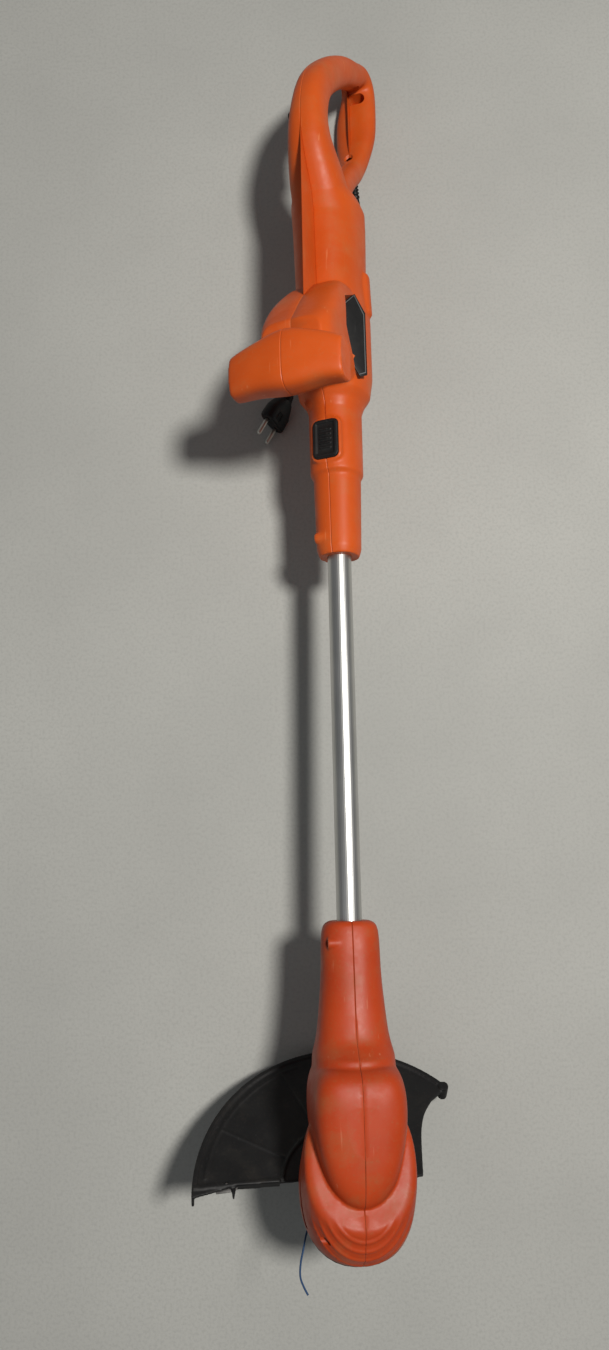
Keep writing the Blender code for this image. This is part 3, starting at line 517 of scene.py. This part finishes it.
def mains_plug():
    """A tapered plug with finger grooves and a ribbed tail."""
    rows = [(0, 17.0, 7.6), (-1.2, 17.9, 8.5), (-3, 18.0, 8.6), (-14, 17.5, 8.6), (-16, 16.6, 8.5),
            (-20, 14.4, 8.3), (-24, 12.0, 8.0), (-28, 9.6, 7.3)]
    for i in range(4):
        level, radius = -29.0 - 2.2 * i, 6.9 - 0.45 * i
        rows += [(level, radius, radius), (level - 0.9, radius, radius),
                 (level - 1.1, radius - 0.9, radius - 0.9), (level - 1.9, radius - 0.9, radius - 0.9)]
    rows += [(-PLUG_LENGTH, 4.9, 4.9)]
    lean = turn(-PLUG_LEAN, "Y")
    rings = [[lean @ Vector((u, y, v)) for u, v in superellipse(wide, thick, thick, 3.0, 40)]
             for y, wide, thick in rows]
    bm = loft(bmesh.new(), rings)
    obj = piece("mains_plug_body", bm)
    for side in (-1, 1):
        grips = bmesh.new()
        for i in range(4):
            near, far = 10.0 - 2.6 * i - 0.6, 10.0 - 2.6 * i + 0.6
            groove = ((near, -13), (far, -13), (far, -4), (near, -4))
            loft(grips, [[lean @ Vector((x, y, side * level)) for x, y in groove] for level in (8.0, 9.0)])
        bmesh.ops.recalc_face_normals(grips, faces=grips.faces)
        cut(obj, grips)
    soften(obj, 0.3)
    return finished(obj, PLUG, "handle", ["plug_body"], LOOKS["cable"], 45)


lead, lead_exit, lead_length = mains_lead()
cord_gland()
plug = mains_plug()


# ---- cutting line -----------------------------------------------------------------
def cutting_line():
    route = [(-32.5, -15.6), (-37.4, -18.5), (-41.2, -27.0), (-44.4, -39.0), (-47.5, -50.0), (-48.7, -61.0),
             (-46.5, -69.0), (-43.5, -75.5)]
    points = [tuple(SPOOL @ Vector((s, r, LINE_LEVEL))) for s, r in smooth_path(route, 24)]
    line = tube_curve("trimmer_line", points, LINE_RADIUS * MM, LOOKS["nylon_line"], "rotor")
    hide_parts("cutting_line")
    length = sum((Vector(b) - Vector(a)).length for a, b in zip(points, points[1:]))
    return line, points[0], length


line, line_exit, line_length = cutting_line()

# ---- handle casing ------------------------------------------------------------------
BARREL_ROWS = [                 # y, centre z, half width, up, down
    (0, 0, 18.3, 18.3, 18.3), (7, 0, 20.4, 20.4, 20.4), (76, 0, 22.0, 22.0, 22.0),
    (80, 0, 24.4, 26.0, 24.0), (142, 0, 24.6, 27.0, 24.6), (150, 0, 27.5, 30.0, 26.5),
    (158, 0, 33.5, 36.0, 30.0), (176, 0, 36.5, 41.5, 31.0), (236, 0, 36.5, 43.5, 31.0),
    (258, 0, 34.0, 43.0, 31.0), (272, 0, 33.0, 43.0, 31.0), (335, 0, 34.5, 46.0, 30.0),
    (353, 0, 34.5, 51.0, 28.0), (362, 3, 31.5, 50.0, 27.0), (368, 6, 26.0, 46.0, 22.0)]
STEM_ROWS = [                   # z, y from, y to, half width
    (20, 158, 262, 33.0), (45, 155, 256, 33.5), (62, 150, 242, 35.0), (80, 142, 223, 35.5),
    (95, 133, 203, 34.0), (106, 128, 188, 29.0)]
GRIP_ROWS = [                   # x, y, z, half length along the handle, half height
    (-54.0, 140.5, 107, 17.0, 10.5), (-52.5, 140.5, 107.5, 19.5, 13.0), (-30, 143, 110.0, 23.0, 15.5),
    (0, 144, 112.0, 28.0, 17.0), (30, 142, 110.5, 23.0, 15.5), (50.0, 138, 108.5, 19.0, 13.0),
    (51.5, 138, 108, 16.5, 10.5)]
GRIP_HOLLOW_ROWS = [            # z, y from, y to, half width
    (20, 160, 258, 31.0), (45, 159, 250, 31.0), (62, 155, 236, 32.0), (80, 148, 216, 32.0),
    (94, 140, 196, 30.0)]
LOOP_ROWS = [                   # y, z, half thickness, half width, side shift, once round the hand gap
    (345, 14, 27, 29, 0), (375, 35, 25, 26, 0), (405, 52, 21, 20.5, 0.5), (435, 54, 18.5, 17.5, 1.5),
    (470, 43, 17.5, 16, 3.5), (502, 18, 16.5, 14.5, 6.5), (531, -14, 15, 13.5, 9.5), (551, -44, 13.5, 14, 10),
    (561, -62, 11.5, 16.5, 9.5), (553, -76, 11, 18.5, 8), (524, -78.5, 11, 22, 4.5),
    (497, -78.5, 11, 21.5, 3),
    (472, -75, 12, 17, 1), (450, -65, 12, 13.5, 0), (428, -45, 12, 14, 0), (402, -24, 12, 15, 0),
    (375, -8, 12, 15, 0)]
FLANK_RIB_ROWS = [              # y, centre z, half width, up, down
    (238, -4, 33.0, 7.0, 9.0), (243, -4, 38.5, 9.0, 11.0), (284, -4, 37.0, 9.0, 11.0),
    (289, -4, 31.0, 7.0, 9.0)]
BUTTON_Y, BUTTON_WIDTH, BUTTON_LENGTH = 107.5, 25.0, 38.0
TUBE_BORE = 11.4
TRIGGER_PIVOT, TRIGGER_HALF = (461.0, 44.0), 8.0
LOCK_OFF_AT = (432.0, 57.0)
HANDLE_SCREWS = [(16.0, 15.6), (149.0, 21.0), (205.0, -23.0), (300.0, -22.0), (152.0, 110.0),
                 (489.0, 28.0), (512.0, -78.0)]
SCREW_WELL = 3.3


def plate_outline(grow):
    half, long_half, tip = 15.5 + grow, 42.0 + grow, 18.0
    return [(half, long_half - tip), (0.3 * half, long_half), (-half, long_half - tip),
            (-half, -long_half + 2 * tip), (0.5 * half, -long_half), (half, -long_half + 3)]


def button_outline(grow):
    return rounded_rectangle(BUTTON_WIDTH + 2 * grow, BUTTON_LENGTH + 2 * grow, 5 + grow, (0, BUTTON_Y))


def moved(bm, start, matrix):
    """Moves what was added to the mesh since it had start vertices."""
    bm.verts.ensure_lookup_table()
    for vert in bm.verts[start:]:
        vert.co = matrix @ vert.co
    return bm


def handle_form():
    """Barrel, stem, front grip, loop, button boss, screw bosses and flank ribs melted together."""
    bm = bmesh.new()
    loft(bm, rings_along_y(BARREL_ROWS, 2.3))
    loft(bm, rings_along_z(smooth_path(STEM_ROWS, 30), 4.6))
    loft(bm, [[(x, y + u, z + v) for u, v in superellipse(long, high, high, 3.4)]
              for x, y, z, long, high in smooth_path(GRIP_ROWS, 44)])
    loft(bm, rings_in_mid_plane(LOOP_ROWS, 90, 2.4))
    extrude_outline(bm, button_outline(2.6), 10, 27.6)
    for (y, z), reach in zip(HANDLE_SCREWS[:2], (-17.0, -21.5)):
        rod(bm, 5.2, reach, -4.0, (0, y, z), "X")
    loft(bm, rings_along_y(FLANK_RIB_ROWS, 3.5))
    return moulded("handle_form", bm, 1.4, 2)


def handle_hollow():
    bm = bmesh.new()
    start = 17.5 + WALL
    inner = [(22, 0, start, start, start)] + [row for row in BARREL_ROWS if 70 < row[0] < 380]
    loft(bm, rings_along_y(inner, 2.3, WALL))
    loft(bm, rings_along_z(GRIP_HOLLOW_ROWS, 3.2, WALL))
    loft(bm, rings_in_mid_plane(LOOP_ROWS[:9], 30, 2.4, WALL))
    loft(bm, rings_in_mid_plane(LOOP_ROWS[10:], 24, 2.4, WALL))
    return moulded("handle_hollow", bm, 3.0, 2)


def handle_openings():
    """Button, trigger, lock-off, gland, plate and screw openings, and the slot for an extension lead."""
    bm = bmesh.new()
    rod(bm, TUBE_BORE, -5, 30, axis="Y", steps=48)
    extrude_outline(bm, button_outline(GAP), 15, 45)
    y, z = TRIGGER_PIVOT
    trench = [(y - 44.5, z - 25), (y + 6, z - 25), (y + 6, z + 8), (y - 44.5, z + 8)]
    extrude_outline(bm, trench, -TRIGGER_HALF - GAP, TRIGGER_HALF + GAP, "X")
    y, z = LOCK_OFF_AT
    rod(bm, 5.3, -30, -12, (0, y, z), "X")
    rod(bm, 7.6, -30, -15.4, (0, y, z), "X")
    start = len(bm.verts)
    extrude_outline(bm, plate_outline(GAP), -1.6, 40)
    moved(bm, start, shift(*PLATE_CENTRE) @ turn(PLATE_LEAN, "Y"))
    start = len(bm.verts)
    rod(bm, 5.0, -20, 40)
    moved(bm, start, GLAND_SEAT)
    extrude_outline(bm, rounded_rectangle(20, 12, 5.9, (8, 541)), -81, -44)
    for y, z in HANDLE_SCREWS:
        rod(bm, SCREW_WELL, -60, -6.8, (0, y, z), "X", 20)
    return bm


def eased_facets(obj, share):
    """Fewer faces where the form is nearly flat."""
    step = obj.modifiers.new("thin_out", "DECIMATE")
    step.ratio = share
    return settle(obj)


def handle_casing():
    form = eased_facets(handle_form(), 0.6)
    whole = cut(hollowed(form, handle_hollow()), handle_openings())
    for side, name in ((-1, "handle_shell_left"), (1, "handle_shell_right")):
        shell = half_of(whole, side, name.replace("shell", "casing"))
        finished(shell, HANDLE, "handle", [name], LOOKS["orange_plastic"], 38)
    bpy.data.objects.remove(whole)


handle_casing()

# ---- head casing ----------------------------------------------------------------------
NECK_ROWS = [                   # y, centre z, half width, up, down
    (196, 0, 17.5, 15.5, 17.0), (188, 0, 24.6, 19.6, 22.0), (150, 0, 26.2, 23.0, 24.0),
    (122, 0, 28.6, 25.4, 26.0), (106, 0, 30.4, 27.6, 27.0), (97, 0, 32.0, 31.0, 29.0),
    (89, 0, 34.0, 38.5, 31.0), (83, 0, 35.0, 43.0, 32.0), (60, 0, 36.0, 43.5, 36.0),
    (30, 0, 37.0, 43.0, 42.0), (5, 0, 37.0, 38.0, 42.0)]
HOOD_OUTLINE = [                # half width, y, from the rear round to the nose
    (0, 81.5), (12, 81.5), (22, 80.5), (30, 77), (35.5, 69), (38.2, 54), (37.6, 34), (33.5, 12), (26.5, -8),
    (16, -20.5), (6, -25.5), (0, -26.5)]
HOOD_LEVELS = [                 # z, share of the outline, how far it has drawn back
    (-6, 1.05, 0), (20, 1.04, 0), (36, 1.01, 0), (45, 0.965, 0.3), (51, 0.89, 1.0), (55, 0.77, 2.5),
    (57.5, 0.58, 5.0), (58.5, 0.36, 8.0)]
HOOD_MIDDLE = 27.0
HOOD_HOLLOW_ROWS = [            # z, y from, y to, half width
    (-12.4, -43, 75, 36.4), (22.4, -33, 80, 36.6), (39.4, -25, 79, 35.0), (48.4, -16, 74, 29.5),
    (53.4, -4, 66, 21.0)]
CASE_ROWS = [                   # front y, front z, rear y, rear z, half width
    (-72.2, 24.0, 8.2, -61.0, 46.5), (-70.5, 30.0, 17.0, -52.0, 47.5), (-61.0, 42.0, 34.0, -28.0, 47.5),
    (-44.0, 49.5, 56.0, 6.0, 46.0), (-38.0, 50.5, 60.0, 12.0, 40.0)]
SIDE_GROOVE = [(-50.0, 36, -6), (-49.6, 14, -3), (-48.8, -8, 2), (-46.4, -28, 7), (-41.5, -47, 11)]
HEAD_SCREWS = [(178.0, 15.2), (118.0, -19.0), (-48.0, 38.0)]
BASE_LEVEL = -36.3


def hood_rings():
    """The rounded U of the motor hood, square at the rear, drawn in towards its top."""
    side = smooth_path(HOOD_OUTLINE, 36)
    whole = side + [(-x, y) for x, y in reversed(side[1:-1])]
    return [[(x * share, HOOD_MIDDLE + back + (y - HOOD_MIDDLE) * share, z) for x, y in whole]
            for z, share, back in smooth_path(HOOD_LEVELS, 30)]


def head_form():
    """Neck, hood and motor case melted together, with the curved ridges of the nose."""
    bm = bmesh.new()
    loft(bm, rings_along_y(smooth_path(NECK_ROWS, 40), 2.4))
    loft(bm, hood_rings())
    loft(bm, rings_front_to_rear(smooth_path(CASE_ROWS, 24), 2.3))
    rod(bm, 4.8, -21.5, -4.0, (0, HEAD_SCREWS[0][0], HEAD_SCREWS[0][1]), "X")
    form = moulded("head_form", bm, 1.3, 2)
    for vert in form.data.vertices:
        x, y, z = vert.co
        reach = math.hypot(x / 47.0, (y + 5.0) / 68.0)
        front = min(1.0, max(0.0, (-28.0 - y) / 10.0)) * min(1.0, max(0.0, (z + 5.0) / 10.0))
        if front > 0 and 0.58 < reach < 0.97:
            ridge = max(0.0, math.sin(2 * math.pi * (reach - 0.60) / 0.115))
            vert.co += vert.normal * (0.9 * front * (ridge - 0.35))
    return form


def head_hollow():
    bm = bmesh.new()
    inner = [(128, 0, 27.5, 24.0, 25.0)] + [row for row in NECK_ROWS if 10 < row[0] < 120]
    loft(bm, rings_along_y(inner + [(5, 0, 34.0, 38.0, 42.0)], 2.4, WALL))
    loft(bm, rings_along_z(HOOD_HOLLOW_ROWS, 2.8, WALL))
    inside = [(fy + WALL, fz, ry - WALL, rz, half - WALL) for fy, fz, ry, rz, half in CASE_ROWS[:3]]
    loft(bm, rings_front_to_rear([(-74.0, 10.0, -6.0, -63.0, 42.0)] + inside, 2.3))
    return moulded("head_hollow", bm, 2.5, 2)


def head_openings():
    bm = bmesh.new()
    rod(bm, TUBE_BORE, 120, 220, axis="Y", steps=48)
    start = len(bm.verts)
    extrude_outline(bm, [(-120, -160), (120, -160), (120, 160), (-120, 160)], -160, BASE_LEVEL + GAP)
    moved(bm, start, turn(SPOOL_TILT, "X"))
    for y, z in HEAD_SCREWS:
        rod(bm, SCREW_WELL, -70, -6.8, (0, y, z), "X", 20)
    rings = []
    for x, y, z in smooth_path(SIDE_GROOVE, 20):
        rings.append([(x + 3.2 * math.cos(a), y, z + 3.6 * math.sin(a)) for a in
                      (2 * math.pi * i / 16 for i in range(16))])
    return loft(bm, rings)


def head_casing():
    form = eased_facets(head_form(), 0.7)
    whole = cut(hollowed(form, head_hollow()), head_openings())
    for side, name in ((-1, "head_shell_left"), (1, "head_shell_right")):
        shell = half_of(whole, side, name.replace("shell", "casing"))
        finished(shell, HEAD, "shaft", [name], LOOKS["red_plastic"], 38)
    bpy.data.objects.remove(whole)


head_casing()

# ---- guard ------------------------------------------------------------------------------
GUARD_RADIUS, GUARD_LEVEL, GUARD_THICK, GUARD_SKIRT, GUARD_INNER = 138.0, -40.0, 2.6, 14.0, 40.6


def guard_outline():
    """The fan from its left corner round the rim to the right knob, and back past the head."""
    outline = swing(GUARD_RADIUS, -91.0, 45.0, 64)
    outline += [(97, 90)] + smooth_path([(84, 80), (75.5, 68), (70.0, 53), (67.0, 36), (63.5, 8)], 16)
    outline += swing(GUARD_INNER, 84.0, -78.0, 40)
    return outline + [(-100, 6.5)]


def band(bm, radius, width, start, end, low, high, count=56):
    """Adds a curved rib of the guard, from one angle to another."""
    outline = swing(radius, start, end, count) + swing(radius - width, end, start, count)
    return extrude_outline(bm, outline, low, high)


def guard_plate():
    """Fan-shaped plate with a turned-down rim, a bead along it, a collar round the head and ribs."""
    top = GUARD_LEVEL
    bm = extrude_outline(bmesh.new(), guard_outline(), top - GUARD_THICK, top)
    band(bm, GUARD_RADIUS, 2.4, -91.0, 45.0, top - GUARD_SKIRT, top - 0.8, 64)
    rod(bm, 4.6, top - GUARD_SKIRT, top + 1.5, (98, 94, 0), steps=24)
    band(bm, GUARD_RADIUS - 0.4, 4.0, -88.0, 44.0, top - 1.0, top + 1.4, 64)
    band(bm, 62.0, 2.2, -80.0, 40.0, top - 1.0, top + 1.6)
    band(bm, 128.0, 1.6, -84.0, -18.0, top - 1.0, top + 0.8)
    for angle in (-62.0, -26.0):
        spoke = [Vector((x, y)) for x, y in ((-0.8, 62.0), (0.8, 62.0), (0.8, 127.0), (-0.8, 127.0))]
        c, s = math.cos(math.radians(angle)), math.sin(math.radians(angle))
        extrude_outline(bm, [(p.x * c + p.y * s, -p.x * s + p.y * c) for p in spoke], top - 1.0, top + 0.7)
    edge = [(-134, 7.6), (-100, 9.4), (-62, 10.6), (-62, 7.6), (-100, 6.7), (-134, 4.6)]
    extrude_outline(bm, edge, top - 7.0, top + 1.2)
    extrude_outline(bm, [(-104, 5), (-100, 5), (-101.5, -4), (-103, -4)], top - 3.0, top - 0.6)
    shaped = eased_facets(moulded("guard_plate", bm, 0.9, 2), 0.4)
    holes = bmesh.new()
    for s, r in ((-30.5, 31.5), (30.5, 31.5), (-108, 9)):
        rod(holes, 1.6, top - 20, top + 6, (s, r, 0), steps=16)
    cut(shaped, holes)
    return finished(shaped, SPOOL, "shaft", ["guard"], LOOKS["black_plastic"], 35)


guard_plate()

# ---- name plate -----------------------------------------------------------------------
def name_plate():
    """A plain black plate with a fine pale border line and an orange stripe, and no lettering."""
    plate = piece("name_plate_face", extrude_outline(bmesh.new(), plate_outline(0), -1.3, 0.2))
    soften(plate, 0.35)
    finished(plate, PLATE, "handle", ["name_plate"], LOOKS["black_plastic"], 30)
    outer, inner = plate_outline(-1.6), plate_outline(-2.3)
    levels = [[(x, y, z) for x, y in line]
              for line, z in ((outer, 0.1), (outer, 0.32), (inner, 0.32), (inner, 0.1))]
    border = piece("name_plate_border", closed_rim(bmesh.new(), levels))
    finished(border, PLATE, "handle", [], LOOKS["border"], 30)
    outline = [(-7.0, -26.0), (-1.0, -30.0), (3.0, -22.0), (-4.5, -17.5)]
    stripe = extrude_outline(bmesh.new(), outline, 0.1, 0.34)
    mark = piece("name_plate_stripe", stripe)
    soften(mark, 0.06)
    finished(mark, PLATE, "handle", [], LOOKS["orange_plastic"], 30)


LOOKS["border"] = metal("plate_border", (0.60, 0.60, 0.58), (0.48, 0.48, 0.47))
name_plate()

# ---- release button ---------------------------------------------------------------------
def release_button():
    """A black rocker with a raised rim round a dished, ribbed pad."""
    bm = extrude_outline(bmesh.new(), button_outline(0), 17.5, 29.0)
    rim = [[(x, y, z) for x, y in line] for line, z in
           ((button_outline(-1.2), 28.5), (button_outline(-1.2), 30.2), (button_outline(-3.4), 30.2),
            (button_outline(-4.4), 28.5))]
    closed_rim(bm, rim)
    for i in range(5):
        at = BUTTON_Y - 9 + 4.5 * i
        extrude_outline(bm, rounded_rectangle(11, 1.6, 0.7, (0, at), 4), 28.5, 30.0)
    button = piece("release_button_cap", bm)
    melt = button.modifiers.new("melt", "REMESH")
    melt.mode, melt.voxel_size = "VOXEL", 0.5
    settle(button)
    well = rod(bmesh.new(), 5.0, 10, 26.5, (0, BUTTON_Y, 0))
    cut(eased_facets(button, 0.3), well)
    look = LOOKS["black_plastic"]
    return finished(button, HANDLE, "release", ["release_button"], look, 40)


release_button()

# ---- pieces that keep their drawn shape, with eased edges -----------------------------------
EASED = {
    "trigger": 0.9, "lock_off_button": 0.4, "head_base": 0.8, "spool_housing": 0.6, "spool_cap": 0.5,
    "line_cutter": 0.15, "line_eyelet": 0.2, "plug_pin_1": 0.3, "plug_pin_2": 0.3, "cooling_fan": 0.15,
    "guard_screw_1": 0.2, "guard_screw_2": 0.2, "cutter_screw": 0.2, "lock_collar": 0.3,
    "switch_body": 0.4, "spool": 0.2, "line_winding": 0.3, "feed_lever": 0.2}


def eased_piece(node, width):
    """The part's own solid, its triangles merged to flat faces and its corners rounded."""
    source = frame["nodes"][node]
    bm = bmesh.new()
    bm.from_mesh(source.data)
    bmesh.ops.scale(bm, vec=(1000, 1000, 1000), verts=bm.verts)
    bmesh.ops.remove_doubles(bm, verts=bm.verts, dist=0.003)
    bmesh.ops.dissolve_limit(bm, angle_limit=math.radians(1.0), verts=bm.verts, edges=bm.edges)
    obj = piece(node + "_finished", bm)
    soften(obj, width)
    slot = NODE_SLOT[node]
    return finished(obj, Matrix.Scale(MM, 4), source["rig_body"], [node], LOOKS[slot], 35)


for node, width in EASED.items():
    eased_piece(node, width)


# ---- screws with a cross recess --------------------------------------------------------------
SCREW_PROFILE = [(0.02, -9.4), (1.4, -9.3), (2.4, -8.7), (2.8, -7.4), (2.8, -7.0), (1.2, -7.0),
                 (1.2, 8.8), (0.4, 9.0)]


def screw_head(name, node, place, y, z):
    """A pan head with a cross-shaped driver recess, at the bottom of its well."""
    bm = lathe(bmesh.new(), SCREW_PROFILE, (0, y, z), "X", 24)
    head = piece(name, bm)
    recess = bmesh.new()
    for across, along in ((0.3, 1.5), (1.5, 0.3)):
        slot = [(y - across, z - along), (y + across, z - along), (y + across, z + along),
                (y - across, z + along)]
        extrude_outline(recess, slot, -10.5, -8.2, "X")
    cut(head, recess)
    body = frame["nodes"][node]["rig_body"]
    return finished(head, place, body, [node], LOOKS["steel"], 35)


for index, (y, z) in enumerate(HANDLE_SCREWS):
    screw_head(f"handle_screw_head_{index + 1}", f"handle_screw_{index + 1}", HANDLE, y, z)
for index, (y, z) in enumerate(HEAD_SCREWS):
    screw_head(f"head_screw_head_{index + 1}", f"head_screw_{index + 1}", HEAD, y, z)

# ---- finish on the nodes that stay -----------------------------------------------------------
for node, obj in frame["nodes"].items():
    obj.data.materials.clear()
    obj.data.materials.append(LOOKS[NODE_SLOT[node]])

# ---- floor and light ----------------------------------------------------------------------------
def floor():
    look, tree, shader = new_look("pale_floor")
    base = mixed(tree, band_of(tree, noise_of(tree, 2.2, 5.0), 0.35, 0.7),
                 (0.40, 0.40, 0.375), (0.34, 0.34, 0.32))
    base = mixed(tree, scaled(tree, band_of(tree, noise_of(tree, 330.0, 2.0), 0.45, 0.7), 0.35), base,
                 (0.27, 0.27, 0.255))
    tree.links.new(base, shader.inputs["Base Color"])
    shader.inputs["Roughness"].default_value = 0.8
    bump = add_node(tree, "ShaderNodeBump", Strength=0.35, Distance=0.0006)
    tree.links.new(noise_of(tree, 240.0, 4.0), bump.inputs["Height"])
    tree.links.new(bump.outputs["Normal"], shader.inputs["Normal"])
    bm = bmesh.new()
    bmesh.ops.create_grid(bm, x_segments=2, y_segments=2, size=4.0)
    mesh = bpy.data.meshes.new("floor")
    bm.to_mesh(mesh)
    bm.free()
    mesh.materials.append(look)
    obj = bpy.data.objects.new("floor", mesh)
    bpy.context.scene.collection.objects.link(obj)


def lamp(name, place, aim, size, power, colour):
    data = bpy.data.lights.new(name, "AREA")
    data.shape, data.size, data.energy, data.color = "DISK", size, power, colour
    obj = bpy.data.objects.new(name, data)
    bpy.context.scene.collection.objects.link(obj)
    obj.location = place
    obj.rotation_euler = (Vector(aim) - Vector(place)).to_track_quat("-Z", "Y").to_euler()


def world_light(colour, strength):
    world = bpy.data.worlds.new("studio")
    bpy.context.scene.world = world
    world.use_nodes = True
    back = world.node_tree.nodes["Background"]
    back.inputs["Color"].default_value = (*colour, 1.0)
    back.inputs["Strength"].default_value = strength


floor()
lamp("key", (0.62, 0.10, 2.05), (0.0, 0.0, 0.0), 0.30, 46.0, (1.0, 0.975, 0.93))
lamp("fill", (-1.2, -0.9, 1.6), (0.0, 0.0, 0.0), 1.6, 1.5, (0.93, 0.97, 1.0))
world_light((0.95, 0.97, 1.0), 0.15)
bpy.context.scene.view_settings.view_transform = "Standard"
